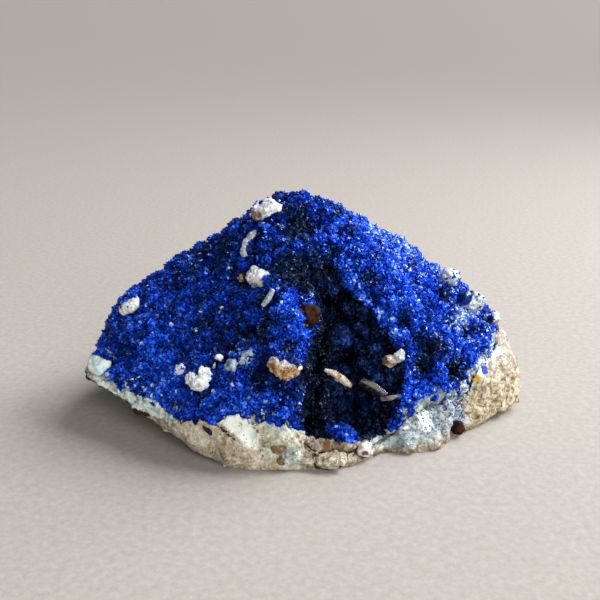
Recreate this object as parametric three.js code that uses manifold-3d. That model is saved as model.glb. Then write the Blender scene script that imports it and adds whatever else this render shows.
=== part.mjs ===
// An azurite specimen: a peaked block of broken vein rock, coated on its upper side with a thick crust of
// blue azurite, and set with lumps of quartz, white clay, brown ironstone and one loose azurite ball.
// Units are millimetres. +X is the specimen's right, +Y its back and +Z up. The block stands on a broken
// flat at z = 0, and its left end hangs clear of the surface that it stands on.
import * as THREE from "three";
import { ConvexGeometry } from "three/addons/geometries/ConvexGeometry.js";
import { mergeVertices } from "three/addons/utils/BufferGeometryUtils.js";
import Module from "manifold-3d";

const wasm = await Module();
wasm.setup();

// Driving dimensions.
const GAP = 0.3; // clearance between neighbouring solids
const CRUST = 1.5; // thickness of the azurite between its lumps where it lies level
const STEEP = 2.2; // how far round it the underside of the crust looks for lower ground
const LOWEST_SKIN = 3.4;
const LEAST_ROCK = 1.5; // thickness of rock left under the crust where the block thins out
const LIP = 1; // how far the crust's skin stands above the rock at its edge
const WIDTH = 96; // sides of the square grids that the skin and the bed are drawn on
const DEPTH = 60;
const SKIN_GRID = 2.4;
const BED_GRID = 3.6;
const STATIONS = 80; // points round each ring of the block
const FACE_RINGS = 5;
const UNDER_RINGS = 3;
const ROUGHNESS = 0.7; // how far the points of the broken faces stand in or out
const STONE_SIDES = 8;
const AXIS = [2, 0]; // plan position of the upright line that the rings are drawn round

// Plan outline of the azurite crust, anticlockwise from the left end, along the front first.
const crustOutline = [
  [-41.4, 0.5], [-40, -3.5], [-36.5, -8.5], [-31, -12], [-26, -15.5], [-21, -20], [-15.5, -23],
  [-11, -23.6], [-4.5, -24.5], [0.5, -24], [3.5, -25], [9, -24], [13.5, -21], [16.5, -18.5], [19, -17],
  [24.3, -14], [30.7, -10], [34.6, -6], [38, -1], [40.5, 5], [39, 11], [33, 16], [25, 19], [14, 21],
  [3, 22], [-8, 21], [-19, 19], [-28, 15], [-36, 10], [-41, 5],
];

// Plan outline of the block where its broken faces meet the underside.
const blockOutline = [
  [-43.6, -3], [-38.6, -8], [-34.3, -11], [-31, -13], [-26, -16.5], [-22.8, -19], [-18.3, -22.6],
  [-13.7, -25.8], [-9.8, -27], [0, -27.2], [7.5, -26.5], [11.8, -23.6], [15, -21], [18.8, -21.2],
  [24.7, -20.5], [30, -15], [32.7, -12.4], [38, -8], [43.4, -4], [45.6, 0], [46.2, 6], [42.5, 14],
  [35, 20], [26, 24], [15, 27], [4, 28], [-8, 27], [-19, 24.5], [-29, 20], [-38, 13], [-43.2, 4],
];

// Heights of the specimen's skin, [x, y, z], which a smooth surface is drawn through.
const skinMarks = [
  // skyline, from the left end over the peak to the right end
  [-41.7, 3, 10.5], [-36.4, 7, 19.6], [-30.5, 9, 23.4], [-24, 10, 27.8], [-16.2, 10, 33],
  [-8.5, 9, 37.9], [3, 7, 40.4], [9.7, 8, 37], [19.5, 10, 31.6], [27, 11, 26.5], [33, 12, 20.8],
  [38.5, 10, 16.8], [43, 6, 14],
  // front edge of the crust
  [-43, -4, 8.5], [-35.7, -9, 9.4], [-31, -12, 10], [-26, -16, 9.5], [-21, -20, 8.9],
  [-15.2, -23.5, 9.2], [-11, -24, 10.4], [-4.5, -25, 9.4], [0.5, -24.5, 7.5], [3.5, -25, 4.6],
  [13.2, -21, 2.6], [17.5, -18, 5], [24.3, -14, 7.9], [30.7, -10, 9], [34.6, -6, 11.8], [39, -1, 13],
  // long left slope
  [-28.2, -8, 19.2], [-19.2, -3, 24], [-11, -13.5, 21], [-17.8, -18.5, 13.6], [-8.7, -22, 13.2],
  [-2.5, -23.5, 12],
  // spur that runs down from the peak towards the front
  [0, -4.5, 34], [0.5, -12, 27], [-1.8, -18, 20.4], [-3, -21, 15.9], [3.6, -12, 23.5], [1, -18, 18.6],
  // hollow to the right of the spur
  [6.6, -7.5, 18], [6.8, -10.5, 11], [10.4, -11, 11.5], [5.5, -15.5, 7], [13.7, -17, 5.7],
  [7.1, -22, 5.4], [15.7, -11, 15.9],
  // crest on the hollow's right, and the right slope behind it
  [10.2, -4, 29.8], [18.3, -9.5, 22.5], [23.7, -10, 15.8], [26, -11.5, 11.4], [11.4, 0, 33.8],
  [19.4, 1, 27.9], [27.1, -3, 19.6], [33.1, -4, 13.6],
  // back edge of the crust
  [-36, 11, 16], [-25, 18, 20], [-10, 21, 27], [5, 22, 30], [18, 20, 25], [30, 18, 18], [39, 12, 13],
];

// Swellings of the crust, [x, y, radius, rise]: rounded masses of crystals that stand above the smooth skin.
const swellings = [
  [-3, 4, 5.5, 1.4], [-6, -4, 4.5, 2.4], [-4.5, -11, 4.5, 2], [-5.5, -17, 4, 1.8], [0, -21, 3.6, 1.4],
  [2, -1, 4.5, 1.6], [9, 3, 5, 1.2], [13, -7, 3.8, 1.6], [19, -11, 3.6, 1.4], [11, -13, 3.6, 1.4],
  [8, -22.5, 3.4, 1.6], [-14, -20, 4.5, 1.2], [-24, -11, 5, 1], [-31, -4, 5.5, 1], [25, -9, 4, 1.3],
  [29, 3, 5, 1.2], [-21, 2, 6, 1], [-13, -9, 4.5, 1.2], [22, 8, 5, 1], [36.5, 1, 2.4, 1.4],
  [-9, 14, 7, 1.4], [10, 16, 6, 1.3], [-22, 13, 5.5, 1], [25, 15, 4.5, 1], [-36, 1, 4, 0.9],
];

// Lumps of other minerals set in the crust, by mineral. Each sits on the skin at x and y with its middle
// lifted off it, and is turned about the skin's normal until its length points spin degrees from +X to +Y.
const crustStones = {
  quartz: [
    { name: "quartz_crest_lump", x: -6, y: 1.5, lift: 0.6, spin: 15, size: [6.4, 4.4, 4] },
    { name: "quartz_crescent", x: -9, y: -3.2, lift: 0.2, spin: 48, size: [6.4, 2.4, 3] },
    { name: "quartz_knob", x: -7.5, y: -8.5, lift: 0.4, spin: -40, size: [4.6, 3.8, 3.4] },
    { name: "quartz_blade", x: -5.5, y: -13.4, lift: 0.5, spin: 62, size: [4, 1.5, 1.7] },
    { name: "quartz_tan_grain", x: 17, y: -12.5, lift: 0.5, spin: 30, size: [4.2, 3.6, 3.2] },
    { name: "quartz_lens", x: -9.5, y: -18, lift: 0, spin: 50, size: [3.6, 2, 1.6] },
    { name: "quartz_streak", x: -12.2, y: -19, lift: 0, spin: 28, size: [3.4, 1.6, 1.4] },
    { name: "quartz_shoulder_lump", x: -33, y: -1, lift: 0.4, spin: 10, size: [5.4, 4.4, 3] },
    { name: "quartz_skyline_lump", x: 30, y: 5.5, lift: 0.2, spin: 25, size: [4.6, 3.6, 3] },
    { name: "quartz_end_patch", x: 35, y: 4.5, lift: 0, spin: 60, size: [6, 4.6, 2.6] },
    { name: "quartz_end_knob", x: 39, y: 3.5, lift: 0.3, spin: 70, size: [3, 1.9, 2] },
  ],
  ironstone: [
    { name: "ironstone_grain", x: -10.5, y: -6.5, lift: 0, spin: 20, size: [2.6, 1.8, 1.8] },
    { name: "ironstone_seat", x: 1.8, y: -13.4, lift: -0.2, spin: 0, size: [5.6, 4.6, 3.4] },
  ],
  limonite: [
    { name: "limonite_lump", x: -2.5, y: -20.5, lift: 0.4, spin: -10, size: [6, 5.2, 4.2] },
    { name: "limonite_blade", x: 7.5, y: -10.8, lift: 0.6, spin: -20, size: [6, 3, 2.6] },
  ],
  smokyQuartz: [
    { name: "smoky_quartz_plate", x: 13.5, y: -14, lift: 0.3, spin: -14, size: [5.4, 3, 2.4] },
    { name: "smoky_quartz_splinter", x: 17, y: -15.3, lift: 0.3, spin: 18, size: [4, 1.7, 1.6] },
  ],
  kaolin: [
    { name: "kaolin_chip", x: -18, y: -18.5, lift: 0.4, spin: 24, size: [5, 4.2, 2.6] },
    { name: "kaolin_crumb", x: -14.5, y: -17, lift: 0.1, spin: 0, size: [1.6, 1.4, 1.2] },
    { name: "clay_chip", x: -22, y: -15, lift: 0, spin: 70, size: [2.4, 1.7, 1.4] },
  ],
  azurite: [
    { name: "azurite_ball", x: 32, y: 2.2, lift: 1, spin: 0, size: [3, 3, 3] },
  ],
  chrysocolla: [
    { name: "chrysocolla_patch", x: -39.2, y: -5, lift: -0.5, spin: -50, size: [6.6, 5.6, 3] },
  ],
};

// Lumps set in the broken front face of the block, by mineral, each with the place of its middle and its
// turns about Z, Y and X in degrees.
const faceStones = {
  limonite: [
    { name: "limonite_shelf", at: [5.2, -25.6, 1.5], turn: [4, 0, 0], size: [6.4, 4, 2.4] },
    { name: "limonite_spot_upper", at: [-3.9, -25.9, 3.9], turn: [0, 0, 80], size: [2.4, 1.7, 1.8] },
    { name: "limonite_spot_lower", at: [-3.2, -26.4, 1.8], turn: [0, 0, 80], size: [1.7, 1.2, 1.6] },
  ],
  quartz: [
    { name: "quartz_foot_knob", at: [11.6, -22.9, 1.9], turn: [30, 0, 0], size: [2.8, 2.6, 2.6] },
  ],
  ironstone: [
    { name: "ironstone_patch", at: [29.8, -14.2, 1.7], turn: [45, 0, 0], size: [3, 2.4, 2.4] },
  ],
};

// A smooth surface through scattered [x, y, z] marks: a thin-plate spline, which bends as little as it can.
function smoothSurface(marks) {
  const n = marks.length;
  const size = n + 3;
  const bend = (squared) => (squared > 0 ? squared * Math.log(squared) : 0);
  const rows = Array.from({ length: size }, () => new Float64Array(size + 1));
  marks.forEach(([x, y, z], i) => {
    marks.forEach(([u, v], j) => (rows[i][j] = bend((x - u) ** 2 + (y - v) ** 2)));
    [1, x, y].forEach((term, k) => (rows[i][n + k] = rows[n + k][i] = term));
    rows[i][size] = z;
  });
  for (let c = 0; c < size; c++) {
    let pivot = c;
    for (let r = c + 1; r < size; r++) {
      if (Math.abs(rows[r][c]) > Math.abs(rows[pivot][c])) pivot = r;
    }
    [rows[c], rows[pivot]] = [rows[pivot], rows[c]];
    for (let r = 0; r < size; r++) {
      if (r === c) continue;
      const share = rows[r][c] / rows[c][c];
      for (let k = c; k <= size; k++) rows[r][k] -= share * rows[c][k];
    }
  }
  const weights = rows.map((row, i) => row[size] / row[i]);
  return (x, y) => {
    let z = weights[n] + weights[n + 1] * x + weights[n + 2] * y;
    marks.forEach(([u, v], j) => (z += weights[j] * bend((x - u) ** 2 + (y - v) ** 2)));
    return z;
  };
}

const throughMarks = smoothSurface(skinMarks);
const smoothSkin = (x, y) => Math.max(throughMarks(x, y), LOWEST_SKIN);

// The skin with its swellings, each a rounded dome. Where two meet, the higher one shows.
function skin(x, y) {
  const rises = swellings.map(([u, v, radius, rise]) => {
    const share = 1 - ((x - u) ** 2 + (y - v) ** 2) / radius ** 2;
    return share > 0 ? rise * Math.sqrt(share) * Math.min(1, 2 * share) : 0;
  });
  return smoothSkin(x, y) + Math.max(...rises);
}

// The underside of the crust: it lies a crust's thickness below the lowest skin close by, so that the crust
// keeps its thickness on steep ground too.
function crustUnderside(x, y) {
  const near = [
    [0, 0], [1, 0], [0.7, 0.7], [0, 1], [-0.7, 0.7], [-1, 0], [-0.7, -0.7], [0, -1], [0.7, -0.7],
  ];
  const lowest = Math.min(...near.map(([dx, dy]) => smoothSkin(x + STEEP * dx, y + STEEP * dy)));
  return Math.max(lowest - CRUST, underside(x, y) + LEAST_ROCK);
}

// The underside of the block: flat where it rests, and rising to the left end, the right end and the back.
function underside(x, y) {
  const left = 0.27 * Math.max(0, -14 - x);
  const right = 0.35 * Math.max(0, x - 38);
  const back = 0.25 * Math.max(0, y - 20);
  return left + right + back;
}

// Distance from the axis to an outline in the direction of an angle.
function reach(outline, angle) {
  const [dx, dy] = [Math.cos(angle), Math.sin(angle)];
  let found = 0;
  outline.forEach(([ax, ay], i) => {
    const [bx, by] = outline[(i + 1) % outline.length];
    const [px, py, ex, ey] = [ax - AXIS[0], ay - AXIS[1], bx - ax, by - ay];
    const across = dx * ey - dy * ex;
    const along = (px * ey - py * ex) / across;
    const share = (px * dy - py * dx) / across;
    if (along > 0 && share >= 0 && share <= 1) found = Math.max(found, along);
  });
  return found;
}

// A repeatable number from -1 to 1 for two whole numbers.
function jitter(i, j) {
  const n = Math.sin(i * 127.1 + j * 311.7) * 43758.5453;
  return 2 * (n - Math.floor(n)) - 1;
}

function manifold(positions, faces) {
  return new wasm.Manifold(
    new wasm.Mesh({
      numProp: 3,
      vertProperties: Float32Array.from(positions),
      triVerts: Uint32Array.from(faces),
    }),
  );
}

// Everything below a surface, drawn on a square grid that covers the whole specimen, down to a flat floor.
function ground(surface, grid) {
  const columns = Math.round(WIDTH / grid);
  const lines = Math.round(DEPTH / grid);
  const count = (columns + 1) * (lines + 1);
  const points = [];
  for (const height of [surface, () => -30]) {
    for (let k = 0; k < count; k++) {
      const x = ((k % (columns + 1)) / columns - 0.5) * WIDTH;
      const y = (Math.floor(k / (columns + 1)) / lines - 0.5) * DEPTH;
      points.push([x, y, height(x, y)]);
    }
  }
  const faces = [];
  const at = (i, j) => j * (columns + 1) + i;
  const quad = (a, b, c, d) => faces.push(a, b, c, a, c, d);
  for (let j = 0; j < lines; j++) {
    for (let i = 0; i < columns; i++) {
      const corners = [at(i, j), at(i + 1, j), at(i + 1, j + 1), at(i, j + 1)];
      quad(...corners);
      quad(...corners.map((k) => k + count).toReversed());
    }
  }
  const wall = (k, l) => quad(k + count, l + count, l, k);
  for (let i = 0; i < columns; i++) {
    wall(at(i, 0), at(i + 1, 0));
    wall(at(i + 1, lines), at(i, lines));
  }
  for (let j = 0; j < lines; j++) {
    wall(at(columns, j), at(columns, j + 1));
    wall(at(0, j + 1), at(0, j));
  }
  return manifold(points.flat(), faces);
}

const angles = Array.from({ length: STATIONS }, (_, i) => (i / STATIONS) * 2 * Math.PI);
const crustReach = angles.map((angle, i) => reach(crustOutline, angle) + 0.35 * jitter(i, 5));

// The plan point at a distance from the axis in the direction of station i.
function planPoint(i, radius) {
  return [AXIS[0] + radius * Math.cos(angles[i]), AXIS[1] + radius * Math.sin(angles[i])];
}

// An upright prism inside the crust's outline, grown by a margin.
function outlinePrism(margin) {
  const corners = angles.map((_, i) => new THREE.Vector2(...planPoint(i, crustReach[i] + margin)));
  const geometry = new THREE.ExtrudeGeometry(new THREE.Shape(corners), { depth: 100, bevelEnabled: false });
  return solidOf(geometry.translate(0, 0, -20));
}

// The block before the crust's bed is cut in it. Its broken faces lean out from a lip just outside the crust
// to the underside, and above the lip it stands taller than the crust.
function roughBlock() {
  const ring = (pointAt) => angles.map((_, i) => pointAt(i));
  const lip = ring((i) => {
    const [x, y] = planPoint(i, crustReach[i] + 2 * GAP);
    return [x, y, smoothSkin(x, y) - LIP];
  });
  const feet = angles.map((angle, i) => Math.max(reach(blockOutline, angle), crustReach[i] + 1));
  const face = Array.from({ length: FACE_RINGS + 1 }, (_, k) => {
    const share = (k + 1) / (FACE_RINGS + 1);
    return ring((i) => {
      const start = crustReach[i] + 2 * GAP;
      const roughness = ROUGHNESS * jitter(i >> 1, k) * Math.sin(Math.PI * share);
      const [x, y] = planPoint(i, start + share ** 0.55 * (feet[i] - start) + roughness);
      return [x, y, lip[i][2] + share * (underside(x, y) - lip[i][2])];
    });
  });
  const under = Array.from({ length: UNDER_RINGS }, (_, k) => {
    const share = 1 - (k + 1) / (UNDER_RINGS + 1);
    return ring((i) => {
      const [x, y] = planPoint(i, share * feet[i]);
      return [x, y, underside(x, y)];
    });
  });
  const rings = [lip.map(([x, y, z]) => [x, y, z + 4]), lip, ...face, ...under];
  const points = [[...AXIS, 75], ...rings.flat(), [...AXIS, 0]];
  const faces = [];
  const at = (r, i) => 1 + r * STATIONS + (i % STATIONS);
  for (let i = 0; i < STATIONS; i++) {
    faces.push(0, at(0, i), at(0, i + 1));
    for (let r = 0; r + 1 < rings.length; r++) {
      faces.push(at(r, i), at(r + 1, i), at(r + 1, i + 1));
      faces.push(at(r, i), at(r + 1, i + 1), at(r, i + 1));
    }
    faces.push(at(rings.length - 1, i + 1), at(rings.length - 1, i), points.length - 1);
  }
  return manifold(points.flat(), faces);
}

// A three.js geometry as a manifold-3d solid.
function solidOf(geometry) {
  geometry.deleteAttribute("normal");
  geometry.deleteAttribute("uv");
  const merged = mergeVertices(geometry, 1e-4);
  return manifold(merged.attributes.position.array, merged.index.array);
}

function geometryOf(solid) {
  const mesh = solid.getMesh();
  return new THREE.BufferGeometry()
    .setAttribute("position", new THREE.BufferAttribute(mesh.vertProperties, 3))
    .setIndex(new THREE.BufferAttribute(mesh.triVerts, 1));
}

// A broken stone with flat faces: the hull of three rings of points round its middle, put in place by a
// matrix.
// A margin grows it on every side.
function stone(size, seed, place, margin = 0) {
  const [length, width, thickness] = size.map((side) => side + 2 * margin);
  const points = [];
  for (const level of [-1, 0, 1]) {
    for (let i = 0; i < STONE_SIDES; i++) {
      const angle = ((i + 0.35 * jitter(i, seed + level)) / STONE_SIDES) * 2 * Math.PI;
      const radius = (level === 0 ? 0.5 : 0.34) * (1 + 0.14 * jitter(seed, i + 7 * level));
      const height = (level * 0.4 + 0.1 * jitter(i + 3, seed)) * thickness;
      const [x, y] = [length * radius * Math.cos(angle), width * radius * Math.sin(angle)];
      points.push(new THREE.Vector3(x, y, height));
    }
  }
  return solidOf(new ConvexGeometry(points).applyMatrix4(place));
}

// The place of a stone on the crust: its thickness stands along the skin's normal.
function placeOnSkin({ x, y, lift, spin }) {
  const slopeX = smoothSkin(x + 1, y) - smoothSkin(x - 1, y);
  const slopeY = smoothSkin(x, y + 1) - smoothSkin(x, y - 1);
  const normal = new THREE.Vector3(-slopeX / 2, -slopeY / 2, 1).normalize();
  const angle = THREE.MathUtils.degToRad(spin);
  const heading = new THREE.Vector3(Math.cos(angle), Math.sin(angle), 0);
  const length = heading.addScaledVector(normal, -heading.dot(normal)).normalize();
  const width = normal.clone().cross(length);
  const middle = new THREE.Vector3(x, y, skin(x, y)).addScaledVector(normal, lift);
  return new THREE.Matrix4().makeBasis(length, width, normal).setPosition(middle);
}

// The place of a stone in the block's face.
function placeInFace({ at, turn }) {
  const [z, y, x] = turn.map(THREE.MathUtils.degToRad);
  return new THREE.Matrix4().makeRotationFromEuler(new THREE.Euler(x, y, z, "ZYX")).setPosition(...at);
}

// Finishes, by mineral.
const finishes = {
  azurite: new THREE.MeshStandardMaterial({ color: 0x12309a, roughness: 0.35, metalness: 0 }),
  veinRock: new THREE.MeshStandardMaterial({ color: 0xb9b4a0, roughness: 0.9, metalness: 0 }),
  quartz: new THREE.MeshStandardMaterial({ color: 0xc9d3d8, roughness: 0.3, metalness: 0 }),
  smokyQuartz: new THREE.MeshStandardMaterial({ color: 0x6f665c, roughness: 0.25, metalness: 0 }),
  kaolin: new THREE.MeshStandardMaterial({ color: 0xe6ebee, roughness: 0.9, metalness: 0 }),
  limonite: new THREE.MeshStandardMaterial({ color: 0xa8743a, roughness: 0.85, metalness: 0 }),
  ironstone: new THREE.MeshStandardMaterial({ color: 0x5a2f1c, roughness: 0.7, metalness: 0 }),
  chrysocolla: new THREE.MeshStandardMaterial({ color: 0xa5dcd6, roughness: 0.5, metalness: 0 }),
};

const belowSkin = ground(skin, SKIN_GRID);
const belowCrust = ground((x, y) => crustUnderside(x, y), BED_GRID);
const belowBed = ground((x, y) => crustUnderside(x, y) - 1.4 * GAP, BED_GRID);
const belowLip = ground((x, y) => smoothSkin(x, y) - LIP, SKIN_GRID);
let crust = belowSkin.subtract(belowCrust).intersect(outlinePrism(0));
let block = roughBlock().intersect(belowLip).subtract(outlinePrism(GAP).subtract(belowBed));

const specimen = new THREE.Group();
function addPiece(name, solid, mineral) {
  const mesh = new THREE.Mesh(geometryOf(solid), finishes[mineral]);
  mesh.name = name;
  specimen.add(mesh);
}

// Each stone lies in a pocket of its own, cut in the crust and in the block with a clearance all round.
let seed = 0;
function setStones(stonesByMineral, placeOf) {
  for (const [mineral, stones] of Object.entries(stonesByMineral)) {
    for (const entry of stones) {
      seed += 1;
      const pocket = stone(entry.size, seed, placeOf(entry), GAP);
      crust = crust.subtract(pocket);
      block = block.subtract(pocket);
      addPiece(entry.name, stone(entry.size, seed, placeOf(entry)), mineral);
    }
  }
}
setStones(crustStones, placeOnSkin);
setStones(faceStones, placeInFace);
addPiece("vein_rock_block", block, "veinRock");
addPiece("azurite_crust", crust, "azurite");

// The specimen stands on z = 0, and the upright axis of the shared frame runs through the middle of its plan.
const bounds = new THREE.Box3().setFromObject(specimen);
const middle = bounds.getCenter(new THREE.Vector3());
specimen.position.set(-middle.x, -middle.y, -bounds.min.z);

export default specimen;
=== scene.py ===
"""An azurite specimen: a block of broken vein rock with a druse of blue crystals over its upper side."""
import bmesh
import bpy
import numpy as np
from mathutils import Matrix, Vector
from mathutils.kdtree import KDTree


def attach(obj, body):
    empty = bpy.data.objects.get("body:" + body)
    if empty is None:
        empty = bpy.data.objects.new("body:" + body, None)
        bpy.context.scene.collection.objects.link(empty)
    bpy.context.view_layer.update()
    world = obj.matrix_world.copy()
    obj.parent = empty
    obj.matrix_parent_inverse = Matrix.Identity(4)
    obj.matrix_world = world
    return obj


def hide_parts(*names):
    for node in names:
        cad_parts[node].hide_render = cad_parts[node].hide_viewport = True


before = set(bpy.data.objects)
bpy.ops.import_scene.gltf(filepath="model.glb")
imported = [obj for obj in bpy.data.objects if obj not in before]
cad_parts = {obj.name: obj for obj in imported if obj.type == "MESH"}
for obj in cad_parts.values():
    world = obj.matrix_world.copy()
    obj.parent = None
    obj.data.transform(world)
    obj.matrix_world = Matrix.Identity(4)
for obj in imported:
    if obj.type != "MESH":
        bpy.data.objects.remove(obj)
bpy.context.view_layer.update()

# ---------------------------------------------------------------- stage
# The specimen stands on a pale board under soft studio light. The strongest light comes from behind on the
# right, a broad weaker one from the front on the right, and a third brightens the board on the right.
MM = 0.001
scene = bpy.context.scene


def look_from(thing, place, target):
    """Puts a camera or light at a place, in millimetres, facing a target."""
    thing.location = Vector(place) * MM
    thing.rotation_euler = (Vector(target) - Vector(place)).to_track_quat("-Z", "Y").to_euler()


camera_data = bpy.data.cameras.new("camera")
camera_data.lens = 50
camera_data.sensor_width = 36
camera_data.clip_start = 0.01
camera_data.clip_end = 50
camera = bpy.data.objects.new("camera", camera_data)
look_from(camera, (-1.4, -153.5, 77.7), (-1.4, -0.3, 22))
scene.collection.objects.link(camera)
scene.camera = camera


def add_light(name, kind, place, power, colour, **settings):
    data = bpy.data.lights.new(name, kind)
    data.energy = power
    data.color = colour
    for key, value in settings.items():
        setattr(data, key, value)
    light = bpy.data.objects.new(name, data)
    look_from(light, place, (0, 0, 15))
    scene.collection.objects.link(light)


add_light("key_light", "SUN", (550, 500, 690), 3.3, (1.0, 1.0, 1.0), angle=0.7)
add_light("front_fill", "SUN", (420, -760, 420), 2.2, (1.0, 0.97, 0.94), angle=0.9)
add_light("side_light", "AREA", (330, 60, 300), 1.9, (1.0, 1.0, 1.0), shape="DISK", size=0.2)

world = bpy.data.worlds.new("studio")
scene.world = world
world.use_nodes = True
world.node_tree.nodes["Background"].inputs["Color"].default_value = (1.0, 0.96, 0.93, 1)
world.node_tree.nodes["Background"].inputs["Strength"].default_value = 0.16
scene.view_settings.view_transform = "Standard"


class Shader:
    """A material's node tree, with short calls that add a node, set its plain values and join its inputs."""

    def __init__(self, name):
        self.material = bpy.data.materials.new(name)
        self.material.use_nodes = True
        self.nodes = self.material.node_tree.nodes
        self.links = self.material.node_tree.links
        self.surface = self.nodes["Principled BSDF"]

    def put(self, socket, value):
        if isinstance(value, bpy.types.NodeSocket):
            self.links.new(value, socket)
        elif isinstance(value, tuple) and len(value) == 3 and socket.type == "RGBA":
            socket.default_value = (*value, 1)
        else:
            socket.default_value = value

    def node(self, kind, values=None, **settings):
        made = self.nodes.new("ShaderNode" + kind)
        for key, value in settings.items():
            setattr(made, key, value)
        for key, value in (values or {}).items():
            self.put(made.inputs[key], value)
        return made

    def noise(self, size, detail=4, rough=0.6, seed=0.0):
        """Noise from 0 to 1 whose largest features are about size millimetres apart."""
        place = self.node("TexCoord").outputs["Object"]
        shifted = self.node("VectorMath", {0: place, 1: (seed, seed * 1.7, seed * 2.3)}, operation="ADD")
        values = {"Vector": shifted.outputs[0], "Scale": 1 / (size * MM)}
        values |= {"Detail": detail, "Roughness": rough}
        return self.node("TexNoise", values).outputs["Fac"]

    def ramp(self, factor, *stops):
        made = self.node("ValToRGB", {0: factor})
        elements = made.color_ramp.elements
        while len(elements) < len(stops):
            elements.new(0.5)
        for element, (at, colour) in zip(elements, stops):
            element.position = at
            element.color = (*colour, 1)
        return made.outputs["Color"]

    def math(self, operation, a, b):
        return self.node("Math", {0: a, 1: b}, operation=operation).outputs[0]

    def blend(self, a, b, share):
        """A share of the value a with the rest of the value b."""
        return self.math("ADD", self.math("MULTIPLY", a, share), self.math("MULTIPLY", b, 1 - share))

    def mix(self, factor, a, b):
        return self.node("Mix", {0: factor, 6: a, 7: b}, data_type="RGBA").outputs[2]

    def band(self, value, low, high):
        """0 where the value is below low, 1 where it is above high and a smooth rise between."""
        return self.node("MapRange", {0: value, 1: low, 2: high}, interpolation_type="SMOOTHSTEP").outputs[0]

    def attribute(self, name):
        return self.node("Attribute", attribute_name=name).outputs["Fac"]

    def stain(self, under, name, edge, low, high, over):
        """A colour laid over another where the attribute of that name is high, out to a ragged edge."""
        return self.mix(self.band(self.math("ADD", self.attribute(name), edge), low, high), under, over)

    def bump(self, height, distance, strength=1.0):
        made = self.node("Bump", {"Strength": strength, "Distance": distance * MM, "Height": height})
        self.links.new(made.outputs[0], self.surface.inputs["Normal"])

    def finish(self, colour, roughness, **values):
        self.put(self.surface.inputs["Base Color"], colour)
        self.put(self.surface.inputs["Roughness"], roughness)
        for key, value in values.items():
            self.surface.inputs[key.replace("_", " ")].default_value = value
        return self.material


REACH = 30  # how far the board goes to each side, in metres, well beyond the specimen
board = bpy.data.meshes.new("board")
corners = [(-REACH, -REACH, 0), (REACH, -REACH, 0), (REACH, REACH, 0), (-REACH, REACH, 0)]
board.from_pydata(corners, [], [(0, 1, 2, 3)])
board_object = bpy.data.objects.new("board", board)
scene.collection.objects.link(board_object)
paper = Shader("pale_board")
weave = paper.ramp(paper.noise(1.3, 5, 0.75), (0.3, (0.31, 0.285, 0.26)), (0.7, (0.40, 0.378, 0.355)))
board.materials.append(paper.finish(weave, 0.85))

# ---------------------------------------------------------------- vein rock block
# The matrix is one block of altered vein rock: smooth tan rock under the left overhang, cream clay-rich rock
# at the front, sugary grey-blue quartz at the front right and rusty granular rock at the right end. It broke
# off its vein along rough fractures.


def even_mesh(node, voxel):
    """A CAD node as a mesh of small squares: its corners in millimetres, and its faces."""
    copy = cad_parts[node].data.copy()
    copy.transform(Matrix.Scale(1 / MM, 4))
    holder = bpy.data.objects.new("remesh", copy)
    scene.collection.objects.link(holder)
    weld = holder.modifiers.new("weld", "WELD")
    weld.merge_threshold = 1e-4
    remesh = holder.modifiers.new("remesh", "REMESH")
    remesh.mode = "VOXEL"
    remesh.voxel_size = voxel
    made = holder.evaluated_get(bpy.context.evaluated_depsgraph_get()).to_mesh()
    points = np.empty(len(made.vertices) * 3)
    made.vertices.foreach_get("co", points)
    faces = np.empty(len(made.loops), int)
    made.loops.foreach_get("vertex_index", faces)
    bpy.data.objects.remove(holder)
    bpy.data.meshes.remove(copy)
    return points.reshape(-1, 3), faces.reshape(-1, 4)


def point_normals(points, faces):
    """The unit normal at each point of a mesh of squares."""
    across = np.cross(points[faces[:, 2]] - points[faces[:, 0]], points[faces[:, 3]] - points[faces[:, 1]])
    total = np.zeros_like(points)
    for corner in range(4):
        for axis in range(3):
            total[:, axis] += np.bincount(faces[:, corner], across[:, axis], len(points))
    return total / (np.linalg.norm(total, axis=1, keepdims=True) + 1e-12)


def smoothed(values, faces, times):
    """Three numbers at each point of a mesh of squares, averaged with its neighbours' a number of times."""
    count = len(values)
    a = faces.ravel()
    b = np.roll(faces, -1, axis=1).ravel()
    near = np.bincount(a, minlength=count) + np.bincount(b, minlength=count)
    values = values.copy()
    for _ in range(times):
        for axis in range(3):
            total = np.bincount(a, values[b, axis], count) + np.bincount(b, values[a, axis], count)
            values[:, axis] += 0.5 * (total / near - values[:, axis])
    return values


def hashed(i, j, k, seed):
    """A repeatable number from 0 to 1 for each whole-number place i, j, k."""
    mixed = (i * 73856093) ^ (j * 19349663) ^ (k * 83492791) ^ (seed * 668265263)
    mixed = mixed & 0xFFFFFFFF
    mixed = ((mixed ^ (mixed >> 13)) * 1274126177) & 0xFFFFFFFF
    mixed = ((mixed ^ (mixed >> 16)) * 2246822519) & 0xFFFFFFFF
    return ((mixed ^ (mixed >> 15)) & 0xFFFFFF) / 0xFFFFFF


def soft_noise(points, size, seed):
    """Smooth noise from -1 to 1 whose features are about size millimetres apart."""
    scaled = points / size
    base = np.floor(scaled).astype(np.int64)
    part = scaled - base
    part = part * part * (3 - 2 * part)
    total = 0
    for step in np.ndindex(2, 2, 2):
        weight = np.prod(np.where(step, part, 1 - part), axis=1)
        i, j, k = (base + step).T
        total = total + weight * hashed(i, j, k, seed)
    return 2 * total - 1


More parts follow.
